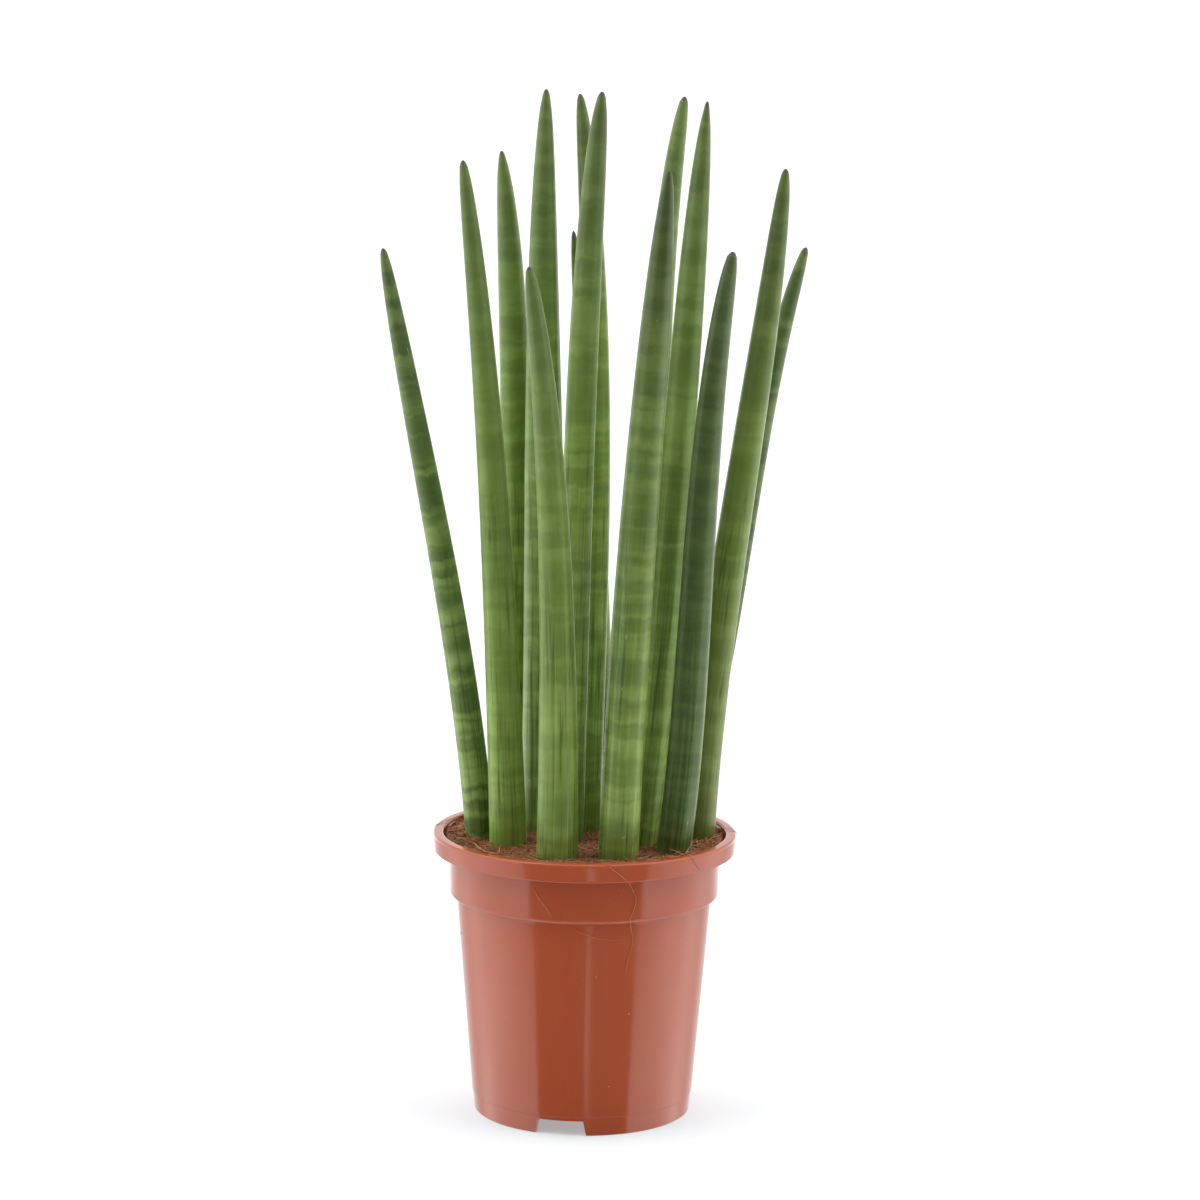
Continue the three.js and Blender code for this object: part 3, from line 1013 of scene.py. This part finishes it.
@dataclass
class NurseryPot:
    """A tapered pot with a rolled lip, a collar over a ledge, and a foot ring with notches."""

    axis: Vector
    height: float
    lip_radius: float
    lip_width: float = 6 * MM
    skirt_draft: float = 0.8 * MM
    skirt_depth: float = 10.5 * MM
    mouth_depth: float = 0.45  # where the mouth starts to narrow, as a share of the skirt's depth
    collar_radius: float = 75.4 * MM
    collar_flare: float = 0.6 * MM
    ledge: float = 123 * MM
    ledge_round: float = 2.8 * MM
    wall_top: float = 71.4 * MM
    wall_steps: int = 24
    foot_radius: float = 61.1 * MM
    foot_step: float = 0.4 * MM
    foot_band: float = 10.8 * MM
    foot_thickness: float = 2.4 * MM
    wall: float = 1.6 * MM
    edge: float = 1.4 * MM
    floor_top: float = 11 * MM
    floor_thickness: float = 2 * MM
    notch_count: int = 3
    notch_first: float = -101.0
    notch_top: float = 26 * MM
    notch_bottom: float = 30 * MM
    notch_height: float = 8.5 * MM
    drain_count: int = 8
    drain_sides: int = 32
    drain_radius: float = 4.5 * MM
    drain_circle: float = 44 * MM
    segments: int = 480
    hold: float = 0.5 * MM
    sharp_from: float = 32.0
    crease_angle: float = -87.0
    crease_slant: float = 2.5
    crease_width: float = 2.6 * MM
    crease_height: float = 0.025 * MM
    # The mould flash's colour is lighter than the pot's: partly the thin plastic's own tone, partly a painted
    # highlight along the flash line.
    flash_tone_and_highlight: Colour = (0.560, 0.140, 0.060)
    flash_girth: float = 0.20 * MM
    flash: Route = (
        (-93.5, 71.3, 120.6), (-91.7, 71.2, 118.6), (-87.9, 71.0, 116.8), (-85.4, 70.9, 115.3),
        (-80.7, 70.8, 114.1), (-75.3, 70.8, 113.5), (-71.0, 70.8, 114.0),
    )  # fmt: skip
    pip: Route = ((-81.1, 84.3, 158.9),)
    pip_size: float = 0.7 * MM

    @property
    def skirt_bottom(self) -> float:
        """The height of the rolled lip's lower edge."""
        return self.height - self.skirt_depth

    @property
    def mouth(self) -> float:
        """The radius inside the lip."""
        return self.lip_radius - self.lip_width

    @property
    def collar_top(self) -> float:
        """The collar's outer radius under the lip."""
        return self.collar_radius + self.collar_flare

    def wall_radius(self, height: float) -> float:
        """The outer radius of the tapered wall at a height."""
        return self.foot_radius + (self.wall_top - self.foot_radius) * height / self.ledge

    def inner_wall(self, inset: float = 0.0) -> Outline:
        """The inside of the pot from the lip down to the floor.

        Args:
            inset: How far inside the plastic the line stays.

        Returns:
            The line's points.
        """
        wall = self.wall
        return [
            (self.mouth - self.edge - inset, self.height - self.mouth_depth * self.skirt_depth),
            (self.collar_top - wall - inset, self.skirt_bottom + self.edge),
            (self.collar_radius - wall - inset, self.ledge + 2 * wall + inset),
            (self.collar_radius - 2 * wall - inset, self.ledge + wall + inset),
            (self.wall_top - wall - inset, self.ledge + inset / 2),
            (self.wall_radius(self.floor_top + wall) - wall - inset, self.floor_top + wall + inset),
            (self.wall_radius(self.floor_top) - 2 * wall - inset, self.floor_top + inset),
        ]

    def profile(self) -> Outline:
        """The section of the pot's wall, from the axis under its floor round to the axis above."""
        wall, edge, height, rounding = self.wall, self.edge, self.height, self.ledge_round
        under = self.floor_top - self.floor_thickness
        foot = self.foot_radius - self.foot_step
        skirt_out = self.lip_radius - self.skirt_draft
        small = edge / 3
        return [
            (0.0, under),
            (foot - self.foot_thickness, under),
            (foot - self.foot_thickness, small),
            (foot - self.foot_thickness + small, 0.0),
            (foot - small, 0.0),
            (foot, small),
            (self.wall_radius(self.foot_band) - self.foot_step, self.foot_band - self.foot_step),
            (self.wall_radius(self.foot_band), self.foot_band),
            *self._wall_points(),
            *arc(self.wall_top + small, self.ledge - small, small, 180, 90, 4),
            *arc(self.collar_radius - rounding, self.ledge + rounding, rounding, -90, 0, 12),
            (self.collar_top, self.skirt_bottom),
            (self.mouth - edge, height - 3 * wall),
            (self.mouth + wall, height - wall),
            (self.lip_radius - 2 * wall, height - wall),
            (skirt_out - wall, height - 2 * wall),
            *arc(skirt_out - wall / 2, self.skirt_bottom + wall / 2, wall / 2, -180, 0, 8),
            *arc(self.lip_radius - edge, height - edge, edge, 0, 90),
            *arc(self.mouth + edge, height - edge, edge, 90, 180),
            *self.inner_wall(),
            (0.0, self.floor_top),
        ]

    def _wall_points(self) -> Outline:
        """Points up the tapered wall, close enough together for its crease."""
        low, high = self.foot_band + 2 * self.edge, self.ledge - self.edge
        heights = [low + (high - low) * i / self.wall_steps for i in range(self.wall_steps + 1)]
        return [(self.wall_radius(h), h) for h in heights]

    def _held(self, outline: Outline) -> Outline:
        """Adds a point close to each end of the long straight stretches, so that they shade flat.

        Args:
            outline: The profile's corners.

        Returns:
            The profile with the points added.
        """
        held = [outline[0]]
        for start, end in zip(outline, outline[1:]):
            length = math.dist(start, end)
            if length > 3 * self.hold:
                for share in (self.hold / length, 1 - self.hold / length):
                    held.append(tuple(a + (b - a) * share for a, b in zip(start, end)))
            held.append(end)
        return held

    def _crease(self, angle: float, radius: float, height: float) -> float:
        """How far the sink mark in the front of the wall moves a point out.

        Args:
            angle: Where the point is round the axis, in radians.
            radius: How far out it is.
            height: How high it is.

        Returns:
            The distance, which is negative for a point that moves in.
        """
        if not self.foot_band < height < self.ledge or radius < self.wall_radius(height) - self.wall / 2:
            return 0.0
        middle = math.radians(self.crease_angle - self.crease_slant * (1 - height / self.ledge))
        across = (angle % TURN - middle % TURN) * radius / self.crease_width
        low = (height - self.foot_band) / (self.ledge - self.foot_band)
        fade = min(1.0, 6 * low) * min(1.0, 8 * (1 - low))
        step = 0.5 * math.tanh(1.5 * across) - 0.5 * math.tanh(across * 0.25)
        return self.crease_height * fade * (math.exp(-across * across) - 0.6 * step)

    def body(self) -> bpy.types.Mesh:
        """The turned pot, before its notches and holes are cut."""
        outline = self._held(self.profile())
        turns = circle(self.segments)
        rings = [
            [around(self.axis, a, radius + self._crease(a, radius, height), height) for a in turns]
            for radius, height in outline[1:-1]
        ]
        poles = [around(self.axis, 0.0, *point) for point in (outline[0], outline[-1])]
        return turned_mesh("pot_body", rings, *poles)

    def _cutters(self) -> bpy.types.Mesh:
        """The notches through the foot ring and the drain holes, as closed bodies."""
        mesh = bmesh.new()
        reach = (self.foot_radius - 3 * self.foot_thickness, self.foot_radius + self.foot_thickness)
        flare = (self.notch_bottom - self.notch_top) / 2 * self.foot_thickness / self.notch_height
        low, high = self.notch_bottom / 2 + flare, self.notch_top / 2
        below, above = -self.foot_thickness, self.notch_height
        section = [(-low, below), (low, below), (high, above), (-high, above)]
        for i in range(self.notch_count):
            turn = Matrix.Rotation(math.radians(self.notch_first + 360 * i / self.notch_count), 4, "Z")
            ends = [[turn @ Vector((r, s * r / self.foot_radius, z)) for s, z in section] for r in reach]
            add_prism(mesh, ends)
        heights = (self.floor_top - 2 * self.floor_thickness, self.floor_top + self.floor_thickness)
        for turn in circle(self.drain_count):
            middle = around(Vector(), turn, self.drain_circle, 0.0)
            sides = circle(self.drain_sides)
            add_prism(mesh, [[around(middle, a, self.drain_radius, h) for a in sides] for h in heights])
        bmesh.ops.translate(mesh, verts=mesh.verts, vec=self.axis)
        return kept_mesh(mesh, "pot_cutters")

    def along(self, route: Route) -> list[Vector]:
        """The points of a route round the pot."""
        return [around(self.axis, math.radians(turn), out * MM, up * MM) for turn, out, up in route]

    def _pip(self, plastic: bpy.types.Material) -> bpy.types.Object:
        """The bead of plastic that the mould leaves on the lip.

        Args:
            plastic: What it is made of.

        Returns:
            The bead.
        """
        mesh = bmesh.new()
        bmesh.ops.create_icosphere(mesh, subdivisions=3, radius=self.pip_size)
        bmesh.ops.translate(mesh, verts=mesh.verts, vec=self.along(self.pip)[0])
        made = kept_mesh(mesh, "lip_pip")
        made.materials.append(plastic)
        made.shade_smooth()
        return add_object("lip_pip", made)

    def build(self) -> list[bpy.types.Object]:
        """Makes the pot, cut and painted, with the marks that its mould left.

        Returns:
            The pot, the flash line on its wall and the bead on its lip.
        """
        pot = add_object("nursery_pot", self.body())
        cutter = add_object("pot_cutter", self._cutters())
        cut = pot.modifiers.new("cut", "BOOLEAN")
        cut.object, cut.operation, cut.solver = cutter, "DIFFERENCE", "EXACT"
        result = evaluated_mesh(pot)
        pot.modifiers.remove(cut)
        pot.data = result
        bpy.data.objects.remove(cutter)
        plastic = PotFinish().material()
        result.materials.clear()
        result.materials.append(plastic)
        result.shade_smooth()
        result.set_sharp_from_angle(angle=math.radians(self.sharp_from))
        # The flash's plastic, coloured lighter: partly its own tone, partly a painted highlight.
        thin = PotFinish("flash_plastic_with_painted_highlight", self.flash_tone_and_highlight, self.flash_tone_and_highlight).material()
        flash = grow_threads("mould_flash", [self.along(self.flash)], [0.5], self.flash_girth, thin)
        pieces = [place_piece(pot, "pot_plastic", "pot")]
        return pieces + [place_piece(mark, "pot_plastic") for mark in (flash, self._pip(plastic))]


# ------------------------------------------------------------------------- potting mix


@dataclass
class PottingMix:
    """The mix: a solid root ball with a lumpy top, under crumbs and a mat of coir."""

    pot: NurseryPot
    fibre: bpy.types.Material
    surface: float
    gap: float = 0.3 * MM
    ring_step: float = 1.1 * MM
    segments: int = 200
    bank: float = 2.0 * MM
    brim_rise: float = 1.2 * MM
    lump: float = 2.1 * MM
    lump_grain: float = 95.0
    swell_grain: float = 32.0
    fibres: int = 2500
    fibre_girth: float = 0.18 * MM
    fibre_lengths: tuple[float, float] = (5 * MM, 22 * MM)
    fibre_points: int = 12
    curl: float = 3.6 * MM
    curls: Grain = (150, 150, 150)
    curl_shape: tuple[float, float, float] = (2.6, 2.6, 0.75)
    fibre_tilt: float = 0.30
    fibre_lift: float = 0.35 * MM
    crumbs: int = 1600
    crumb_size: float = 1.0 * MM
    crumb_grain: float = 1400.0
    crumb_lump: float = 0.9
    seed: int = 11

    @property
    def edge_radius(self) -> float:
        """Where the mix's top meets the pot."""
        return self.pot.mouth - self.pot.edge - self.gap

    def top_height(self, x: float, y: float) -> float:
        """The height of the mix's top.

        Args:
            x: How far to the right of the pot's axis it is taken.
            y: How far behind the axis.

        Returns:
            The height.
        """
        place = Vector((x, y, 0))
        rough = noise.fractal(place * self.lump_grain, 1.0, 2.0, 4)
        swell = noise.noise(place * self.swell_grain + Vector((3, 1, 0)))
        across = math.hypot(x, y) / self.edge_radius
        rise = self.bank * across**2 + self.brim_rise * across**8
        return self.surface + rise + self.lump * (0.5 * rough + 0.8 * swell)

    def body(self) -> bpy.types.Mesh:
        """The root ball, turned to the pot's inside, with its lumpy top."""
        axis, turns = self.pot.axis, circle(self.segments)
        side = list(reversed(self.pot.inner_wall(self.gap)[1:]))
        rings = [[around(axis, a, radius, height) for a in turns] for radius, height in side]
        count = round(self.edge_radius / self.ring_step)
        for i in range(count):
            radius = self.edge_radius * (1 - i / count)
            heights = [self.top_height(radius * math.cos(a), radius * math.sin(a)) for a in turns]
            rings.append([around(axis, a, radius, height) for a, height in zip(turns, heights)])
        poles = [around(axis, 0.0, 0.0, height) for height in (side[0][1], self.top_height(0.0, 0.0))]
        made = turned_mesh("root_ball", rings, *poles)
        made.shade_smooth()
        return made

    def build(self) -> list[bpy.types.Object]:
        """Makes the mix.

        Returns:
            The root ball, its crumbs and its mat of fibres.
        """
        ball = add_object("root_ball", self.body())
        mix = MixFinish().material()
        ball.data.materials.append(mix)
        place_piece(ball, "potting_mix", "potting_mix")
        values = {"Count": self.crumbs, "Seed": self.seed, "Material": mix}
        crumbs = self._crumb_recipe(values).grow("mix_crumbs", ball.data.copy(), values)
        shortest, longest = self.fibre_lengths
        values = {
            "Count": self.fibres,
            "Thickness": self.fibre_girth,
            "Shortest": shortest,
            "Longest": longest,
            "Curl": self.curl,
            "Brim": self.edge_radius - self.gap,
            "Seed": self.seed + 1,
            "Material": self.fibre,
        }
        mat = self._fibre_recipe(values).grow("coir_mat", ball.data.copy(), values)
        return [ball, place_piece(crumbs, "potting_mix"), place_piece(mat, "potting_mix")]

    def _scattered(self, recipe: Recipe) -> Wire:
        """Random points over the top of the mix.

        Args:
            recipe: The tree that they are for, with its Count and Seed.

        Returns:
            The points.
        """
        given = recipe.given
        _, _, up = recipe.facing().parts()
        top = recipe.node("FunctionNodeCompare", {"operation": "GREATER_THAN"}, {"A": up, "B": 0.3}).out
        density = given["Count"] / (math.pi * self.edge_radius**2)
        values = {"Mesh": given["Geometry"], "Selection": top, "Density": density, "Seed": given["Seed"]}
        settings = {"distribute_method": "RANDOM"}
        return recipe.node("GeometryNodeDistributePointsOnFaces", settings, values)["Points"]

    def _crumb_recipe(self, values: dict[str, Any]) -> Recipe:
        """The tree that strews crumbs over the mix.

        Args:
            values: A value for each named input.

        Returns:
            The tree.
        """
        recipe = Recipe("mix_crumbs", values)
        seed = recipe.given["Seed"]
        size = recipe.chance(0.35, 1.25, seed) * recipe.chance(0.6, 1.3, seed + 3)
        lay = recipe.vector(recipe.chance(0.7, 1.4, seed + 5), recipe.chance(0.6, 1.2, seed + 6), 0.75)
        spin = recipe.vector(*(recipe.chance(0, 6.28, seed + offset) for offset in (7, 8, 9)))
        pebble = recipe.pebble(self.crumb_size)
        strewn = recipe.real(recipe.strewn(self._scattered(recipe), pebble, lay.stretched(size), spin))
        lump = recipe.speckle(recipe.place(), self.crumb_grain, 1.0) - 0.5
        lump = lump * self.crumb_lump * MM
        recipe.finished(recipe.shifted(strewn, recipe.facing().stretched(lump)))
        return recipe

    def _fibre_recipe(self, values: dict[str, Any]) -> Recipe:
        """The tree that lays curling fibres over the mix, inside the pot's wall.

        Args:
            values: A value for each named input.

        Returns:
            The tree.
        """
        recipe = Recipe("coir_mat", values)
        given = recipe.given
        seed = given["Seed"]
        points = recipe.stored(self._scattered(recipe), "lot", recipe.chance(0.0, 1.0, seed + 2))
        ends = {"Start": (-0.5, 0, 0), "End": (0.5, 0, 0)}
        straight = recipe.node("GeometryNodeCurvePrimitiveLine", {"mode": "POINTS"}, ends).out
        values = {"Curve": straight, "Count": self.fibre_points}
        straight = recipe.node("GeometryNodeResampleCurve", {}, values).out
        spread = given["Longest"] - given["Shortest"]
        length = given["Shortest"] + spread * recipe.chance(0, 1, seed + 3) ** 2.0
        pitch = recipe.chance(-self.fibre_tilt, self.fibre_tilt, seed + 4)
        tilt = recipe.vector(0.0, pitch, recipe.chance(0.0, 6.283, seed + 5))
        laid = recipe.real(recipe.strewn(points, straight, recipe.vector(length, 1.0, 1.0), tilt))

        lot = recipe.read("lot")
        drift = recipe.vector(lot * 37.0, lot * 91.0, lot * 53.0)
        values = {"Vector": recipe.place().scaled(self.curls).moved(drift), "Scale": 1.0, "Detail": 1.0}
        bend = recipe.node("ShaderNodeTexNoise", {"noise_dimensions": "3D"}, values)["Color"]
        bend = bend.moved((-0.5, -0.5, -0.5)).scaled(self.curl_shape)
        laid = recipe.shifted(laid, bend.stretched(given["Curl"]))
        laid = recipe.shifted(laid, recipe.vector(0.0, 0.0, self.fibre_lift))

        x, y, _ = recipe.place().parts()
        x, y = x - self.pot.axis.x, y - self.pot.axis.y
        out = (x * x + y * y) ** 0.5
        pull = (given["Brim"] / out.most(1 * MM)).least(1.0) - 1.0
        laid = recipe.shifted(laid, recipe.vector(x * pull, y * pull, 0.0))

        along = recipe.node("GeometryNodeSplineParameter", {}, {})["Factor"]
        taper = (4 * along * (1 - along)) ** 0.4 * 0.75 + 0.25
        girth = given["Thickness"] * taper * (0.55 + 0.9 * lot)
        recipe.finished(recipe.tube(laid, girth, 3, 1))
        return recipe


# ------------------------------------------------------------------------- strays


@dataclass
class Strays:
    """Single fibres and crumbs that lie on the pot's lip and cling to its wall.

    The first fibre and the third hang over the front of the lip, the second lies on the collar,
    and the others are on the pot's other sides. Each crumb has a turn in degrees, with -90 at
    the front, and a height in millimetres.
    """

    pot: NurseryPot
    fibre: bpy.types.Material
    routes: tuple[Route, ...] = (
        (
            (-83.5, 79.5, 158.2), (-81.5, 82.6, 159.6), (-80.3, 85.1, 157.6), (-77.6, 85.2, 154.4),
            (-74.6, 84.9, 150.6), (-72.0, 79.8, 147.2), (-69.6, 76.5, 142.3), (-68.0, 76.2, 136.5),
            (-69.0, 76.1, 130.6), (-70.4, 75.9, 125.8), (-69.4, 73.6, 121.2), (-67.9, 71.0, 115.6),
            (-67.8, 70.7, 110.0), (-69.4, 70.1, 102.1), (-70.0, 69.7, 97.4), (-70.5, 69.3, 93.6),
        ),
        ((-111.4, 76.4, 143.7), (-109.2, 76.4, 138.6), (-105.4, 76.1, 132.3), (-103.2, 76.0, 127.0)),
        (
            (-33.0, 70.5, 163.4), (-39.0, 75.0, 161.8), (-45.4, 79.6, 160.0), (-46.4, 84.4, 159.5),
            (-45.2, 85.3, 156.4), (-42.6, 85.1, 152.2), (-40.2, 84.7, 149.6),
        ),
        ((-152.8, 68.0, 158.6), (-146.0, 72.8, 160.0), (-136.5, 77.5, 159.8), (-132.6, 79.6, 159.5)),
        (
            (158.0, 70.0, 157.0), (163.0, 77.0, 159.8), (170.0, 81.9, 159.5), (176.0, 85.3, 158.6),
            (178.0, 85.2, 154.0),
        ),
        ((152.0, 72.0, 157.0), (149.0, 78.5, 160.2), (146.5, 82.0, 160.6), (143.0, 84.0, 160.0)),
        (
            (64.0, 74.0, 157.4), (66.0, 80.5, 159.7), (68.5, 85.1, 158.4), (71.0, 85.0, 152.8),
            (73.0, 80.2, 147.3), (74.5, 76.5, 142.0), (73.0, 76.3, 134.5), (75.5, 76.0, 127.4),
        ),
        ((8.0, 74.0, 157.6), (5.0, 80.0, 159.7), (1.0, 85.0, 158.6), (-2.5, 85.2, 153.5)),
    )  # fmt: skip
    girth: float = 0.16 * MM
    crumbs: tuple[tuple[float, float], ...] = (
        (-83.9, 92.6), (-67.6, 70.2), (-76.2, 28.7), (-121.0, 52.0), (-48.0, 84.0),
        (35.0, 61.0), (78.0, 97.0), (112.0, 40.0), (160.0, 75.0), (-170.0, 102.0),
    )  # fmt: skip
    crumb_size: float = 0.42 * MM
    seed: int = 5

    def build(self) -> list[bpy.types.Object]:
        """Makes the stray fibres and the clinging crumbs.

        Returns:
            The two pieces.
        """
        routes = [self.pot.along(route) for route in self.routes]
        tints = [0.72 + 0.25 * ((number * 0.618) % 1.0) for number in range(len(routes))]
        fibres = grow_threads("stray_fibres", routes, tints, self.girth, self.fibre)
        places = [(turn, self.pot.wall_radius(up * MM) / MM, up) for turn, up in self.crumbs]
        spots = bpy.data.meshes.new("stray_spots")
        spots.from_pydata(self.pot.along(places), [], [])
        values = {"Size": self.crumb_size, "Seed": self.seed, "Material": self.fibre}
        crumbs = self._crumb_recipe(values).grow("stray_crumbs", spots, values)
        return [place_piece(fibres, "potting_mix"), place_piece(crumbs, "potting_mix")]

    def _crumb_recipe(self, values: dict[str, Any]) -> Recipe:
        """The tree that sets a small uneven crumb at each spot.

        Args:
            values: A value for each named input.

        Returns:
            The tree.
        """
        recipe = Recipe("stray_crumbs", values)
        given = recipe.given
        seed = given["Seed"]
        offsets = {seed: 1.3, seed + 1: 1.3, seed + 2: 1.5}
        size = recipe.vector(*(recipe.chance(0.6, most, offset) for offset, most in offsets.items()))
        crumbs = recipe.strewn(given["Geometry"], recipe.pebble(1.0), size.stretched(given["Size"]))
        recipe.finished(recipe.stored(crumbs, "lot", recipe.chance(0.75, 1.0, seed + 3), domain="INSTANCE"))
        return recipe


# ------------------------------------------------------------------------- studio


@dataclass
class Studio:
    """The camera, the pale floor and the soft light round the plant.

    A pair of numbers whose name ends in "_from" is where a light starts and where it is whole,
    and one whose name ends in "_at" is where it is strongest and how far it reaches to either
    side. The numbers are how high a direction points, from -1 down to 1 up, or for rear_from and
    strip_at its turn away from the camera's side, in degrees.
    """

    axis: Vector
    camera_offset: tuple[float, float, float] = (7 * MM, -2200 * MM, 659 * MM)
    pitch: float = 0.1662
    roll: float = 0.0120
    lens: float = 120.6
    sensor: float = 36.0
    clip_end: float = 100.0
    floor_size: float = 60.0
    floor_colour: Colour = (0.50, 0.51, 0.52)
    floor_glow: Colour = (0.33, 0.36, 0.37)
    dark: float = 0.06
    panel: float = 2.2
    panel_left: float = 47.0
    panel_right: float = 51.0
    panel_soft: float = 1.5
    panel_low: float = 0.30
    panel_low_from: tuple[float, float] = (-0.75, -0.55)
    haze: float = 45.0
    haze_at: tuple[float, float] = (-0.365, 0.035)
    lip_lift: float = 0.35
    lip_at: tuple[float, float] = (-0.375, 0.03)
    rear_from: tuple[float, float] = (112.0, 142.0)
    rear_low: float = 1.0
    rear_middle: float = 2.2
    rear_middle_from: tuple[float, float] = (-0.27, -0.20)
    rear_high: float = 1.2
    rear_high_from: tuple[float, float] = (0.05, 0.15)
    overhead: float = 1.0
    overhead_from: tuple[float, float] = (0.66, 0.78)
    below: float = 1.1
    below_from: tuple[float, float] = (-0.85, -0.55)
    strip: float = 7.0
    strip_at: tuple[float, float] = (5.5, 5.5)
    strip_low_from: tuple[float, float] = (-0.434, -0.422)
    strip_high_from: tuple[float, float] = (-0.417, -0.410)

    def build(self) -> None:
        """Sets the camera, the floor and the world."""
        self._camera()
        self._floor()
        self._world()
        bpy.context.scene.view_settings.view_transform = "Standard"
        bpy.context.scene.view_settings.look = "None"

    def _camera(self) -> None:
        """Sets the camera where the photograph was taken from."""
        data = bpy.data.cameras.new("camera")
        data.lens = self.lens
        data.sensor_width = self.sensor
        data.clip_end = self.clip_end
        camera = add_object("camera", data)
        ahead = Vector((0, math.cos(self.pitch), -math.sin(self.pitch)))
        right = Vector((1, 0, 0))
        up = right.cross(ahead)
        across = math.cos(self.roll) * right + math.sin(self.roll) * up
        upward = -math.sin(self.roll) * right + math.cos(self.roll) * up
        turn = Matrix((across, upward, -ahead)).transposed()
        place = self.axis + Vector(self.camera_offset)
        camera.matrix_world = Matrix.Translation(place) @ turn.to_4x4()
        bpy.context.scene.camera = camera

    def _floor(self) -> None:
        """Lays a pale floor, lit a little from below, which doesn't mirror in the pot."""
        half = self.floor_size / 2
        data = bpy.data.meshes.new("floor")
        corners = [(-half, -half, 0), (half, -half, 0), (half, half, 0), (-half, half, 0)]
        data.from_pydata(corners, [], [(0, 1, 2, 3)])
        floor = add_object("floor", data)
        floor.visible_glossy = False
        made, _, shader = new_material("pale_floor")
        set_uniform(shader, {"Base Color": self.floor_colour, "Emission Color": self.floor_glow})
        set_uniform(shader, {"Roughness": 1.0, "Specular IOR Level": 0.0, "Emission Strength": 1.0})
        data.materials.append(made)

    def _world(self) -> None:
        """Surrounds the plant with white, but for a dark gap behind the camera."""
        world = bpy.data.worlds.new("studio")
        bpy.context.scene.world = world
        world.use_nodes = True
        graph = Graph(world.node_tree)
        graph.tree.nodes.clear()
        x, y, z = graph.node("ShaderNodeTexCoord", {}, {})["Generated"].parts()
        turn = x.angle(-y)
        soft = math.radians(self.panel_soft)
        haze = math.radians(self.haze) * z.peak(*self.haze_at)
        left, right = math.radians(self.panel_left), math.radians(self.panel_right)
        panels = (-turn).between(left - soft, left + soft + haze)
        panels = panels + turn.between(right - soft, right + soft + haze)

        rear = z.between(*self.rear_middle_from, self.rear_low, self.rear_middle)
        rear = rear + z.between(*self.rear_high_from, 0.0, self.rear_high - self.rear_middle)
        front = self.panel * (1.0 + self.lip_lift * z.peak(*self.lip_at))
        rear_start, rear_end = (math.radians(degrees) for degrees in self.rear_from)
        sides = turn.most(-turn).between(rear_start, rear_end, front, rear)
        sides = sides * z.between(*self.panel_low_from, self.panel_low, 1.0)
        above = z.between(*self.overhead_from) * self.overhead + z.between(*self.below_from, self.below, 0.0)
        slot = turn.peak(*(math.radians(degrees) for degrees in self.strip_at))
        slot = slot * z.between(*self.strip_low_from) * z.between(*self.strip_high_from, 1.0, 0.0)
        glow = self.dark + panels * sides + above + self.strip * slot

        seen = graph.node("ShaderNodeLightPath", {}, {})["Is Camera Ray"]
        lit, white = (
            graph.node("ShaderNodeBackground", {}, {"Color": (1.0, 1.0, 1.0), "Strength": strength}).out
            for strength in (glow, 1.0)
        )
        both = graph.node("ShaderNodeMixShader", {}, {0: seen, 1: lit, 2: white}).out
        graph.node("ShaderNodeOutputWorld", {}, {"Surface": both})


# ------------------------------------------------------------------------- the plant


# Each leaf's look and its three light numbers at the mix, halfway up and at the tip. These scale its colour:
# partly its own tone, partly painted light that lightens the parts the other leaves shade.
LEAF_SKINS = {
    "leaf_01": LeafSkin(LeafLook.BANDED, 1.35, 1.15, 0.78),
    "leaf_02": LeafSkin(LeafLook.PLAIN, 1.55, 1.16, 0.80),
    "leaf_03": LeafSkin(LeafLook.GREEN, 1.60, 1.40, 1.02),
    "leaf_04": LeafSkin(LeafLook.GREEN, 1.40, 1.30, 0.84),
    "leaf_05": LeafSkin(LeafLook.PLAIN, 1.22, 1.06, 0.86),
    "leaf_06": LeafSkin(LeafLook.GREEN, 2.20, 1.75, 0.80),
    "leaf_07": LeafSkin(LeafLook.GREEN, 1.50, 1.32, 0.68),
    "leaf_08": LeafSkin(LeafLook.RIPE, 1.30, 1.10, 0.60),
    "leaf_09": LeafSkin(LeafLook.DUSKY, 1.20, 0.94, 0.42),
    "leaf_10": LeafSkin(LeafLook.GREEN, 1.00, 1.00, 1.00),
    "leaf_11": LeafSkin(LeafLook.GREEN, 1.80, 1.12, 0.80),
    "leaf_12": LeafSkin(LeafLook.BLOOMY, 0.80, 0.65, 0.68),
    "leaf_13": LeafSkin(LeafLook.RIPE, 0.76, 1.00, 0.66),
    "leaf_14": LeafSkin(LeafLook.BANDED, 0.50, 0.50, 1.00),
}


def main() -> None:
    """Builds the plant around its frame."""
    logging.basicConfig(level=logging.INFO, format="%(name)s: %(message)s")
    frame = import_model()
    low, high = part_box("pot")
    centre = (low + high) / 2
    pot = NurseryPot(Vector((centre.x, centre.y, 0.0)), high.z, (high.x - low.x) / 2)
    pot.build()
    fibre = FibreFinish().material()
    PottingMix(pot, fibre, MIX_SURFACE).build()
    Strays(pot, fibre).build()
    SpearLeaves(LEAF_SKINS, MIX_SURFACE).build(frame["nodes"])
    Studio(pot.axis).build()


if __name__ == "__main__":
    main()
